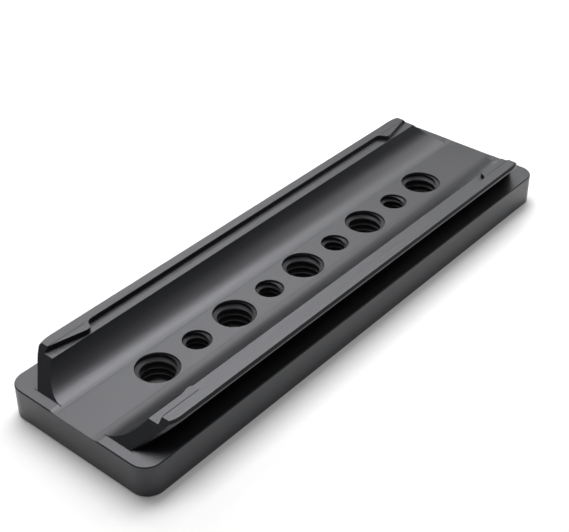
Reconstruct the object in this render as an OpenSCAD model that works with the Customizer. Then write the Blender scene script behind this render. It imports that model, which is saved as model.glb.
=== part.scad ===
// Camera base plate: one machined bar of aluminium alloy, anodised black.
// A flat slab carries two parallel dovetail rails. A round-sided channel runs between
// them along the whole bar, with a line of tapped holes for camera and tripod screws.
// The underside is the plane z = 0, +X runs along the rails and +Z points up.

/* [Slab] */
// Length of the slab, which is the whole length of the plate
plate_length = 140; // [120:1:220]
// Width of the slab
plate_width = 39.8; // [39:0.1:50]
// Thickness of the slab beside the rails
slab_thickness = 7.7; // [6:0.1:14]
// Radius of the four upright corners, seen from above
corner_radius = 4; // [1:0.5:8]
// Edge break around the top and bottom of the slab
edge_break = 0.2; // [0.1:0.05:0.5]

/* [Dovetail rails] */
// Width over the lips of the two rails
lip_width = 38; // [36.5:0.1:38.5]
// Height of the rails above the slab
rail_height = 6; // [5:0.1:8]
// Bevel along the top outer edge of each rail
lip_bevel = 0.5; // [0.2:0.1:1]
// Upright land between that bevel and the undercut
lip_land = 0.4; // [0.2:0.1:0.8]
// Lean of the undercut flank from upright
undercut_angle = 45; // [40:1:50]
// Distance from the end of the slab to the foot of the rail end
end_setback = 2.5; // [1:0.5:10]
// Lean of the rail end face from upright
end_rake = 45; // [30:1:50]
// Edge break of the slanting corner between the flank and the rail end face
rail_corner_break = 0.6; // [0.2:0.1:1]
// Radius that rounds the lips at the rail ends, seen from above
lip_corner_radius = 7; // [3:0.5:8]

/* [Channel] */
// Radius of the two coves that form the inner sides of the rails
cove_radius = 9.5; // [9:0.1:12]
// Width of the flat floor between the coves
floor_width = 10.3; // [9.8:0.1:11]
// Depth of the floor below the top of the slab
floor_depth = 0.15; // [0.1:0.05:1]

/* [Safety ramps] */
// Width of the raised strip along the top of each rail
strip_width = 2.7; // [2:0.1:3.2]
// Depth of the ledge milled beside the strip
ledge_depth = 1.1; // [0.6:0.1:1.4]
// Length of the ramp from the top edge of the rail end to its hook
ramp_length = 10.3; // [8:0.1:12]
// Angle of the ramp to the length of the rail
ramp_angle = 13; // [10:1:14]
// Distance that the ramp already stands proud of the strip at the rail end
ramp_start = 0.25; // [0.1:0.05:0.5]
// Radius of the rounded tip of the hook
hook_tip_radius = 1.2; // [0.5:0.1:1.5]
// Radius that the ledge cutter leaves in the corner of the hook
hook_corner_radius = 1.7; // [1:0.1:2]

/* [Tapped holes] */
// Number of large holes, with one small hole between each pair
large_holes = 5; // [2:1:6]
// Distance between the centres of a large hole and the next small one
hole_pitch = 11.75; // [10:0.05:12]
// Diameter of the large holes, the major diameter of a 3/8-16 thread
large_bore = 9.525; // [8:0.005:9.6]
// Diameter of the small holes, the major diameter of a 1/4-20 thread
small_bore = 6.35; // [4:0.005:8]
// Edge break at the mouths of the holes
mouth_bevel = 0.1; // [0.05:0.05:0.2]

/* [Hidden] */
$fn = 96;
over = 1; // how far a cutter runs past the metal
root = 2; // how far the dovetail reaches down into the slab

rail_top = slab_thickness + rail_height;
floor_z = slab_thickness - floor_depth;
ledge_z = rail_top - ledge_depth;
half_lip = lip_width / 2;
flank_height = rail_height - lip_bevel - lip_land;
half_foot = half_lip - flank_height * tan(undercut_angle);
foot_end = plate_length / 2 - end_setback;
top_end = foot_end - rail_height * tan(end_rake);
strip_inner = half_lip - strip_width;
half_floor = floor_width / 2;

// The slanting corner of a rail end, where the flank plane meets the end plane
flank_normal = [0, cos(undercut_angle), -sin(undercut_angle)];
end_normal = [cos(end_rake), 0, sin(end_rake)];
corner_run = [-tan(end_rake), tan(undercut_angle), 1];
corner_heading = atan2(corner_run.y, corner_run.x);
corner_lean = atan(norm([corner_run.x, corner_run.y]));
corner_half_angle = 90 - acos(flank_normal * end_normal) / 2;
corner_inward = -(flank_normal + end_normal);
corner_side_axis = [
    cos(corner_lean) * cos(corner_heading),
    cos(corner_lean) * sin(corner_heading),
    -sin(corner_lean)
];
corner_back_axis = [-sin(corner_heading), cos(corner_heading), 0];
corner_turn = atan2(corner_inward * corner_back_axis, corner_inward * corner_side_axis);

// The rounding of a lip at a rail end, between the lip and the break of the slanting corner
corner_break_depth = rail_corner_break * cos(corner_half_angle);
lip_turn = 180 - corner_heading;
lip_end_x = foot_end - flank_height * tan(end_rake) - corner_break_depth / sin(lip_turn);
lip_centre = [lip_end_x - lip_corner_radius * tan(lip_turn / 2), half_lip - lip_corner_radius];

// One safety ramp, seen from above at the +X end of the +Y rail: a slope that ends in
// a round tip, and the hollow corner that the ledge cutter leaves behind that hook
tip_x = top_end - ramp_length + hook_tip_radius;
slope_y = strip_inner - ramp_start - (top_end - tip_x) * tan(ramp_angle);
hook_tip = [tip_x, slope_y + hook_tip_radius / cos(ramp_angle)];
hollow_y = strip_inner - hook_corner_radius;
hollow_reach = hook_corner_radius + hook_tip_radius;
hook_hollow = [hook_tip.x - sqrt(pow(hollow_reach, 2) - pow(hook_tip.y - hollow_y, 2)), hollow_y];

// Lays a profile drawn in Y and Z along X, centred on the middle of the plate
module along_x(length) {
    rotate([90, 0, 90])
        linear_extrude(height = length, center = true)
            children();
}

// Copies a shape to all four quarters of the plate
module four_quarters() {
    for (side_x = [0, 1], side_y = [0, 1])
        mirror([side_x, 0, 0])
            mirror([0, side_y, 0])
                children();
}

// One upright corner of the slab, turned with its edge breaks
module slab_corner() {
    rotate_extrude()
        polygon([
            [0, 0],
            [corner_radius - edge_break, 0],
            [corner_radius, edge_break],
            [corner_radius, slab_thickness - edge_break],
            [corner_radius - edge_break, slab_thickness],
            [0, slab_thickness]
        ]);
}

// Profile of a slab bar of the given width, with its edge breaks
module slab_profile(width) {
    polygon([
        [-width / 2 + edge_break, 0],
        [width / 2 - edge_break, 0],
        [width / 2, edge_break],
        [width / 2, slab_thickness - edge_break],
        [width / 2 - edge_break, slab_thickness],
        [-width / 2 + edge_break, slab_thickness],
        [-width / 2, slab_thickness - edge_break],
        [-width / 2, edge_break]
    ]);
}

// The slab: two crossing bars and four turned corners
module slab() {
    along_x(plate_length - 2 * corner_radius)
        slab_profile(plate_width);
    rotate([0, 0, 90])
        along_x(plate_width - 2 * corner_radius)
            slab_profile(plate_length);
    four_quarters()
        translate([plate_length / 2 - corner_radius, plate_width / 2 - corner_radius, 0])
            slab_corner();
}

// Cross-section of the dovetail before the channel is cut
module dovetail_profile() {
    polygon([
        [-half_foot, slab_thickness - root],
        [half_foot, slab_thickness - root],
        [half_foot, slab_thickness],
        [half_lip, slab_thickness + flank_height],
        [half_lip, rail_top - lip_bevel],
        [half_lip - lip_bevel, rail_top],
        [-half_lip + lip_bevel, rail_top],
        [-half_lip, rail_top - lip_bevel],
        [-half_lip, slab_thickness + flank_height],
        [-half_foot, slab_thickness]
    ]);
}

// Side view of the dovetail, with both ends raked back
module raked_profile() {
    polygon([
        [-foot_end, slab_thickness - root - over],
        [foot_end, slab_thickness - root - over],
        [foot_end, slab_thickness],
        [top_end - over * tan(end_rake), rail_top + over],
        [-top_end + over * tan(end_rake), rail_top + over],
        [-foot_end, slab_thickness]
    ]);
}

// What is filed off one slanting corner of the dovetail
module rail_corner_cut() {
    translate([foot_end, half_foot, slab_thickness])
        rotate([0, corner_lean, corner_heading])
            rotate([0, 0, corner_turn])
                linear_extrude(height = 4 * rail_height, center = true)
                    translate([-over, -over])
                        square([over + corner_break_depth, 2 * over]);
}

// What is milled away to round one lip and its bevel at a rail end
module lip_corner_cut() {
    reach = lip_corner_radius + over;
    translate([lip_centre.x, lip_centre.y, slab_thickness])
        difference() {
            linear_extrude(height = rail_height + over)
                polygon([
                    [0, 0],
                    [0, reach],
                    [reach * tan(lip_turn / 2), reach],
                    reach * [sin(lip_turn), cos(lip_turn)]
                ]);
            translate([0, 0, -over])
                cylinder(r = lip_corner_radius, h = rail_height - lip_bevel + over);
            translate([0, 0, rail_height - lip_bevel])
                cylinder(
                    r1 = lip_corner_radius,
                    r2 = lip_corner_radius - lip_bevel - over,
                    h = lip_bevel + over
                );
        }
}

// The dovetail as one block, ends raked and corners rounded
module dovetail_block() {
    difference() {
        intersection() {
            along_x(2 * foot_end)
                dovetail_profile();
            rotate([90, 0, 0])
                linear_extrude(height = lip_width + 2 * over, center = true)
                    raked_profile();
        }
        four_quarters() {
            rail_corner_cut();
            lip_corner_cut();
        }
    }
}

// The channel: a flat floor between two coves, as a round-edged cutter leaves it
module channel_cut() {
    along_x(plate_length + 2 * over) {
        translate([-half_floor, floor_z])
            square([floor_width, 2 * cove_radius]);
        for (side = [-1, 1])
            translate([side * half_floor, floor_z + cove_radius])
                circle(r = cove_radius);
    }
}

// The raised metal of one safety ramp, seen from above
module ramp_outline() {
    run_out = top_end + ledge_depth * tan(end_rake) + over;
    difference() {
        polygon([
            hook_hollow,
            hook_tip,
            hook_tip + hook_tip_radius * [sin(ramp_angle), -cos(ramp_angle)],
            [top_end, strip_inner - ramp_start],
            [run_out, strip_inner - ramp_start],
            [run_out, strip_inner + over],
            [hook_hollow.x, strip_inner + over]
        ]);
        translate(hook_hollow)
            circle(r = hook_corner_radius);
    }
    translate(hook_tip)
        circle(r = hook_tip_radius);
}

// A quarter of the two ledges, seen from above, from mid length out past the rail end
module ledge_outline() {
    difference() {
        translate([0, half_floor])
            square([foot_end, strip_inner - half_floor]);
        ramp_outline();
    }
}

// The ledges beside both raised strips
module ledge_cut() {
    four_quarters()
        translate([0, 0, ledge_z])
            linear_extrude(height = ledge_depth + over)
                ledge_outline();
}

// A through hole with a small bevel at each mouth
module tapped_hole(diameter) {
    translate([0, 0, -over])
        cylinder(d = diameter, h = slab_thickness + 2 * over);
    translate([0, 0, -over])
        cylinder(d1 = diameter + 2 * (mouth_bevel + over), d2 = diameter, h = mouth_bevel + over);
    translate([0, 0, floor_z - mouth_bevel])
        cylinder(d1 = diameter, d2 = diameter + 2 * (mouth_bevel + over), h = mouth_bevel + over);
}

// The line of holes, large ones at both ends and small ones between
module hole_line() {
    last = 2 * (large_holes - 1);
    for (i = [0 : last])
        translate([(i - last / 2) * hole_pitch, 0, 0])
            tapped_hole(i % 2 == 0 ? large_bore : small_bore);
}

module base_plate() {
    color("#26282c")
        difference() {
            union() {
                slab();
                dovetail_block();
            }
            channel_cut();
            ledge_cut();
            hole_line();
        }
}

base_plate();
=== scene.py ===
import math

import bmesh
import bpy
from mathutils import Matrix, Vector


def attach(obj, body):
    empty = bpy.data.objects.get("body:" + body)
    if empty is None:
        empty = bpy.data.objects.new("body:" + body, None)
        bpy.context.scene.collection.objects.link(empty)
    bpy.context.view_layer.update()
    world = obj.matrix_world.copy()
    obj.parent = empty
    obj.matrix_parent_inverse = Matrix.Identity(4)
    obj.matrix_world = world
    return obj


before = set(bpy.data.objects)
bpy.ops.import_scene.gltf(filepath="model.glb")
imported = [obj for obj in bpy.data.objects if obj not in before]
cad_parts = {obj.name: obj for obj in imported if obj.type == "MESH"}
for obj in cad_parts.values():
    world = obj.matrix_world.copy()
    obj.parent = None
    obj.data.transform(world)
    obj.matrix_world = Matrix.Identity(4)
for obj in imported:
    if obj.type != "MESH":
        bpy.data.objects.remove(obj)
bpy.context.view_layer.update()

# View: the plate lies flat and is seen from above its near left corner through a long lens, so
# that the channel runs away from the eye. The place and direction were fitted to the hole mouths.
CAMERA_PLACE = Vector((-0.17443, -0.13995, 0.16703))
CAMERA_DIRECTION = Vector((0.624744, 0.521124, -0.581485))
CAMERA_ROLL = math.radians(0.10)
CAMERA_LENS = 76.08
CAMERA_SENSOR = 36
CAMERA_NEAR = 0.01
camera_data = bpy.data.cameras.new("camera")
camera_data.lens = CAMERA_LENS
camera_data.sensor_width = CAMERA_SENSOR
camera_data.clip_start = CAMERA_NEAR
camera = bpy.data.objects.new("camera", camera_data)
bpy.context.scene.collection.objects.link(camera)
camera.matrix_world = (
    Matrix.Translation(CAMERA_PLACE)
    @ CAMERA_DIRECTION.to_track_quat("-Z", "Y").to_matrix().to_4x4()
    @ Matrix.Rotation(CAMERA_ROLL, 4, "Z")
)
bpy.context.scene.camera = camera
bpy.context.scene.view_settings.view_transform = "Standard"

# Bar: one length of aluminium alloy, milled all over from the solid and then anodised a satin
# black. The mills leave fine lengthwise lines on the long faces, crosswise lines on the two
# ends, and the edges are lightly broken.
BLACK = (0.0045, 0.0047, 0.0055, 1)
WORN_BLACK = (0.0085, 0.0088, 0.0100, 1)
WEAR_START = 0.4
WEAR_GAIN = 1.2
SATIN_ROUGHNESS = 0.38
LINE_ROUGHNESS = 0.10
CLOUD_ROUGHNESS = 0.06
DARK_LINE_ROUGHNESS = 0.5
COVE_EDGE_ROUGHNESS = 0.16
TAPPED_ROUGHNESS = 0.22
FILM_IOR = 1.62
FILM_TINT = (0.94, 0.94, 1.0, 1)
MILL_LINE_SCALE = 2600.0
MILL_LINE_STRETCH = 60
GRAIN_SCALE = 5200.0
CLOUD_SCALE = 55.0
RELIEF_HEIGHT = 0.000040
GRAIN_RELIEF = 0.25
LINE_RELIEF = 0.20
STRIP_RELIEF = 0.80
STRIP_LOWEST = 0.0125
STRIP_INNER_EDGE = 0.0135
CUTTER_LINE_Y = 0.01605
CUTTER_LINE_FADE = 5500
CUTTER_LINE_REACH = (0.0515, 0.0625)
RAIL_FOOT_X = 0.06755
RAIL_FOOT_HALF_WIDTH = 0.00012
RAIL_FOOT_HALF_LENGTH = 0.0141
RAIL_FOOT_HEIGHTS = (0.0076, 0.0079)
COVE_EDGE_Y = 0.00522
COVE_EDGE_FADE = 3500
COVE_EDGE_HEIGHTS = (0.0075, 0.0077)
TAPPED_HEIGHTS = (0.0003, 0.0073)
TAPPED_HALF_LENGTH = 0.0520
TAPPED_HALF_WIDTH = 0.0048
JOIN_DISTANCE = 0.000001
EDGE_ROUNDING = 0.00005
EDGE_ANGLE = math.radians(28)


class Wire:
    """An output of a finish's nodes; arithmetic on it adds Math nodes to the same finish."""

    def __init__(self, tree, output=None):
        self.tree = tree
        self.output = output

    def node(self, kind, sockets, output=0, **settings):
        made = self.tree.nodes.new("ShaderNode" + kind)
        for name, value in settings.items():
            setattr(made, name, value)
        for name, value in sockets.items():
            if isinstance(value, Wire):
                self.tree.links.new(value.output, made.inputs[name])
            else:
                made.inputs[name].default_value = value
        return Wire(self.tree, made.outputs[output] if made.outputs else None)

    def math(self, operation, *values):
        return self.node("Math", dict(enumerate(values)), operation=operation)

    def __add__(self, other):
        return self.math("ADD", self, other)

    def __sub__(self, other):
        return self.math("SUBTRACT", self, other)

    def __rsub__(self, other):
        return self.math("SUBTRACT", other, self)

    def __mul__(self, other):
        return self.math("MULTIPLY", self, other)

    def __gt__(self, other):
        return self.math("GREATER_THAN", self, other)

    def __lt__(self, other):
        return self.math("LESS_THAN", self, other)

    def __abs__(self):
        return self.math("ABSOLUTE", self)

    __radd__ = __add__
    __rmul__ = __mul__


def new_finish(name):
    finish = bpy.data.materials.new(name)
    finish.use_nodes = True
    finish.node_tree.nodes.clear()
    return finish, Wire(finish.node_tree)


def mill_lines(wire, place, lie):
    """Fine lines that a mill leaves along lie, as a value around one half."""
    scale = [MILL_LINE_SCALE] * 3
    scale["XYZ".index(lie)] = MILL_LINE_SCALE / MILL_LINE_STRETCH
    stretched = wire.node("Mapping", {"Vector": place, "Scale": scale})
    return wire.node(
        "TexNoise", {"Vector": stretched, "Scale": 1.0, "Detail": 3.0, "Roughness": 0.6}
    )


def between(value, limits):
    """One where value lies between the two limits, otherwise zero."""
    return (value > limits[0]) * (value < limits[1])


def faded_line(value, middle, fade):
    """One on the line where value is middle, falling to zero beside it."""
    return value.math("MAXIMUM", 1 - abs(value - middle) * fade, 0)


black_anodised, wire = new_finish("black_anodised")
place = wire.node("TexCoord", {}, output="Object")
facing = wire.node("NewGeometry", {}, output="Normal")
along = abs(wire.node("SeparateXYZ", {"Vector": place}, output="X"))
across = abs(wire.node("SeparateXYZ", {"Vector": place}, output="Y"))
height = wire.node("SeparateXYZ", {"Vector": place}, output="Z")
end_facing = abs(wire.node("SeparateXYZ", {"Vector": facing}, output="X")) > 0.5
lines = wire.node(
    "Mix",
    {0: end_facing, 2: mill_lines(wire, place, "X"), 3: mill_lines(wire, place, "Y")},
    data_type="FLOAT",
)
grain = wire.node("TexNoise", {"Vector": place, "Scale": GRAIN_SCALE, "Detail": 2.0})
cloud = wire.node("TexNoise", {"Vector": place, "Scale": CLOUD_SCALE, "Detail": 3.0})
strip_top = (height > STRIP_LOWEST) * (across > STRIP_INNER_EDGE)
# The line that the ramp cutter leaves in each strip, and a painted dark line of shade in the
# crease at the foot of each rail end
cutter_line = (
    strip_top
    * faded_line(across, CUTTER_LINE_Y, CUTTER_LINE_FADE)
    * between(along, CUTTER_LINE_REACH)
)
painted_foot_shade = (
    between(height, RAIL_FOOT_HEIGHTS)
    * (abs(along - RAIL_FOOT_X) < RAIL_FOOT_HALF_WIDTH)
    * (across < RAIL_FOOT_HALF_LENGTH)
)
# The line where each cove meets the floor, and the rougher walls that the taps leave
cove_line = between(height, COVE_EDGE_HEIGHTS) * faded_line(across, COVE_EDGE_Y, COVE_EDGE_FADE)
tapped = (
    between(height, TAPPED_HEIGHTS)
    * (across < TAPPED_HALF_WIDTH)
    * (along < TAPPED_HALF_LENGTH)
)
# Both lines keep the bar plain black and make it rougher; at the rail foot this darkening is
# painted shade
cutter_line_and_painted_shade = wire.math("MAXIMUM", cutter_line, painted_foot_shade)
relief = GRAIN_RELIEF * grain + lines * (LINE_RELIEF + STRIP_RELIEF * strip_top)
bumped = wire.node("Bump", {"Strength": 1.0, "Distance": RELIEF_HEIGHT, "Height": relief})
colour = wire.node(
    "Mix",
    {0: (cloud - WEAR_START) * WEAR_GAIN * (1 - cutter_line_and_painted_shade), 6: BLACK, 7: WORN_BLACK},
    output=2,
    data_type="RGBA",
    clamp_factor=True,
)
roughness = (
    SATIN_ROUGHNESS
    + LINE_ROUGHNESS * (lines - 0.5)
    + CLOUD_ROUGHNESS * (cloud - 0.5)
    + DARK_LINE_ROUGHNESS * cutter_line_and_painted_shade
    + COVE_EDGE_ROUGHNESS * cove_line
    + TAPPED_ROUGHNESS * tapped
)
surface = wire.node(
    "BsdfPrincipled",
    {
        "Base Color": colour,
        "Roughness": roughness,
        "IOR": FILM_IOR,
        "Specular Tint": FILM_TINT,
        "Normal": bumped,
    },
)
wire.node("OutputMaterial", {"Surface": surface})

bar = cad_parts["base_plate"]
bar.data.materials.clear()
bar.data.materials.append(black_anodised)
joined = bar.modifiers.new("joined", "WELD")
joined.merge_threshold = JOIN_DISTANCE
broken = bar.modifiers.new("broken_edges", "BEVEL")
broken.width = EDGE_ROUNDING
broken.segments = 2
broken.limit_method = "ANGLE"
broken.angle_limit = EDGE_ANGLE
even = bar.modifiers.new("even_faces", "WEIGHTED_NORMAL")
even.mode = "FACE_AREA_WITH_ANGLE"
even.keep_sharp = True

# Tapped holes: nine through holes in one line, tapped with a 60 degree thread after drilling.
# Large 3/8-16 and small 1/4-20 holes take turns. Each thread starts a little below the floor, and
# its first turn is cut back on a slope, as a light countersink leaves it.
HOLES = 9
HOLE_PITCH = 0.01175
FLOOR = 0.00755
# Each size has its major radius and its pitch, and the ridge's form is in shares of the pitch
LARGE_THREAD = (0.0047625, 0.0015875)
SMALL_THREAD = (0.0031750, 0.0012700)
RIDGE_DEPTH = 0.5413
RIDGE_HALF_ROOT = 0.4375
RIDGE_HALF_CREST = 0.125
ROOT_SINK = 0.00003
PLAIN_MOUTH = 0.00045
PLAIN_FOOT = 0.0003
LEAD_SLOPE = 2.2
START_TURNS = 1.5
SPARE_TURNS = 3
THREAD_STEPS = 72
CUT_DISTANCE = 0.0000001


def cut_thread(name, centre_x, major_radius, pitch):
    """The ridge of one tapped thread, from below the floor to just above the underside."""
    minor_radius = major_radius - RIDGE_DEPTH * pitch
    sunk_radius = major_radius + ROOT_SINK
    turns = math.ceil(FLOOR / pitch) + SPARE_TURNS
    top = FLOOR - PLAIN_MOUTH
    ridge = bmesh.new()
    corners = [
        (sunk_radius, -RIDGE_HALF_ROOT * pitch),
        (minor_radius, -RIDGE_HALF_CREST * pitch),
        (minor_radius, RIDGE_HALF_CREST * pitch),
        (sunk_radius, RIDGE_HALF_ROOT * pitch),
    ]
    ring = [ridge.verts.new((radius, 0, rise - START_TURNS * pitch)) for radius, rise in corners]
    section = ridge.faces.new(ring)
    bmesh.ops.spin(
        ridge,
        geom=[section] + list(section.edges) + ring,
        cent=(0, 0, 0),
        axis=(0, 0, 1),
        dvec=(0, 0, pitch / THREAD_STEPS),
        angle=2 * math.pi * turns,
        steps=THREAD_STEPS * turns,
    )
    for corner in ridge.verts:
        least = major_radius - LEAD_SLOPE * max(0.0, top - corner.co.z)
        radius = corner.co.xy.length
        if radius < least:
            corner.co.xy *= least / radius
    for cut_height, side in ((PLAIN_FOOT, -1), (top, 1)):
        cut = bmesh.ops.bisect_plane(
            ridge,
            geom=list(ridge.verts) + list(ridge.edges) + list(ridge.faces),
            dist=CUT_DISTANCE,
            plane_co=(0, 0, cut_height),
            plane_no=(0, 0, side),
            clear_outer=True,
        )
        rim = [edge for edge in cut["geom_cut"] if isinstance(edge, bmesh.types.BMEdge)]
        bmesh.ops.holes_fill(ridge, edges=rim, sides=0)
    bmesh.ops.translate(ridge, verts=ridge.verts, vec=(centre_x, 0, 0))
    bmesh.ops.recalc_face_normals(ridge, faces=ridge.faces)
    mesh = bpy.data.meshes.new(name)
    ridge.to_mesh(mesh)
    ridge.free()
    mesh.materials.append(black_anodised)
    thread = bpy.data.objects.new(name, mesh)
    bpy.context.scene.collection.objects.link(thread)
    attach(thread, "root")


for hole in range(HOLES):
    centre_x = (hole - HOLES // 2) * HOLE_PITCH
    if hole % 2 == 0:
        cut_thread(f"large_thread_{hole // 2 + 1}", centre_x, *LARGE_THREAD)
    else:
        cut_thread(f"small_thread_{hole // 2 + 1}", centre_x, *SMALL_THREAD)

# Table and light: a plain white table top in a plain studio, with three softboxes hung level over
# and beyond the plate and a weak even light from all round. The table shows the shadow near the
# plate and goes over into the white backdrop further out.
TABLE_HALF = 3.0
TABLE_WHITE = (0.86, 0.86, 0.85, 1)
NO_GLOW = (0, 0, 0, 1)
FULL_GLOW = (1, 1, 1, 1)
NEAR_GLOW = 0.10
BENEATH_PAINTED_SHADE = 0.05
BENEATH_HALF = (0.069, 0.019)
BACKDROP_START = 0.20
BACKDROP_END = 0.60
STUDIO_WHITE = (0.96, 0.98, 1.0, 1)
EVEN_LIGHT = 0.20
# Each lamp has its place, its size and its radiance
LAMPS = {
    "long_softbox": ((0.14, 0.16, 0.45), (0.50, 0.25), 7.4),
    "far_softbox": ((0.64, 0.02, 0.45), (0.40, 0.56), 3.4),
    "left_softbox": ((0.37, 0.54, 0.45), (0.62, 0.34), 3.1),
}

table_shape = bmesh.new()
bmesh.ops.create_grid(table_shape, x_segments=1, y_segments=1, size=TABLE_HALF)
table_mesh = bpy.data.meshes.new("table")
table_shape.to_mesh(table_mesh)
table_shape.free()
table = bpy.data.objects.new("table", table_mesh)
bpy.context.scene.collection.objects.link(table)

white_table, wire = new_finish("white_table")
seen = (
    wire.node("LightPath", {}, output="Is Camera Ray")
    + wire.node("LightPath", {}, output="Is Glossy Ray")
    + wire.node("LightPath", {}, output="Is Transmission Ray")
)
spot = wire.node("TexCoord", {}, output="Object")
spot_x = abs(wire.node("SeparateXYZ", {"Vector": spot}, output="X"))
spot_y = abs(wire.node("SeparateXYZ", {"Vector": spot}, output="Y"))
# The glow is lower on the table beneath the plate, seen through the holes: painted shade under
# the plate
beneath = (spot_x < BENEATH_HALF[0]) * (spot_y < BENEATH_HALF[1])
away = wire.node("VectorMath", {0: spot}, output="Value", operation="LENGTH")
distant = wire.node(
    "MapRange", {"Value": away, "From Min": BACKDROP_START, "From Max": BACKDROP_END}
)
shine = wire.node(
    "Mix",
    {
        0: seen * (NEAR_GLOW + (1 - NEAR_GLOW) * distant - BENEATH_PAINTED_SHADE * beneath),
        6: NO_GLOW,
        7: FULL_GLOW,
    },
    output=2,
    data_type="RGBA",
)
matt = wire.node("BsdfDiffuse", {"Color": TABLE_WHITE})
glow = wire.node("Emission", {"Color": shine, "Strength": 1.0})
both = wire.node("AddShader", {0: matt, 1: glow})
wire.node("OutputMaterial", {"Surface": both})
table_mesh.materials.append(white_table)

for name, (lamp_place, lamp_size, radiance) in LAMPS.items():
    lamp_data = bpy.data.lights.new(name, "AREA")
    lamp_data.shape = "RECTANGLE"
    lamp_data.size, lamp_data.size_y = lamp_size
    lamp_data.energy = radiance * math.pi * lamp_size[0] * lamp_size[1]
    lamp = bpy.data.objects.new(name, lamp_data)
    bpy.context.scene.collection.objects.link(lamp)
    lamp.location = lamp_place
    lamp.visible_camera = False

studio = bpy.data.worlds.new("studio")
bpy.context.scene.world = studio
studio.use_nodes = True
studio.node_tree.nodes.clear()
wire = Wire(studio.node_tree)
from_camera = wire.node("LightPath", {}, output="Is Camera Ray")
brightness = EVEN_LIGHT + (1 - EVEN_LIGHT) * from_camera
wall = wire.node("Background", {"Color": STUDIO_WHITE, "Strength": brightness})
wire.node("OutputWorld", {"Surface": wall})
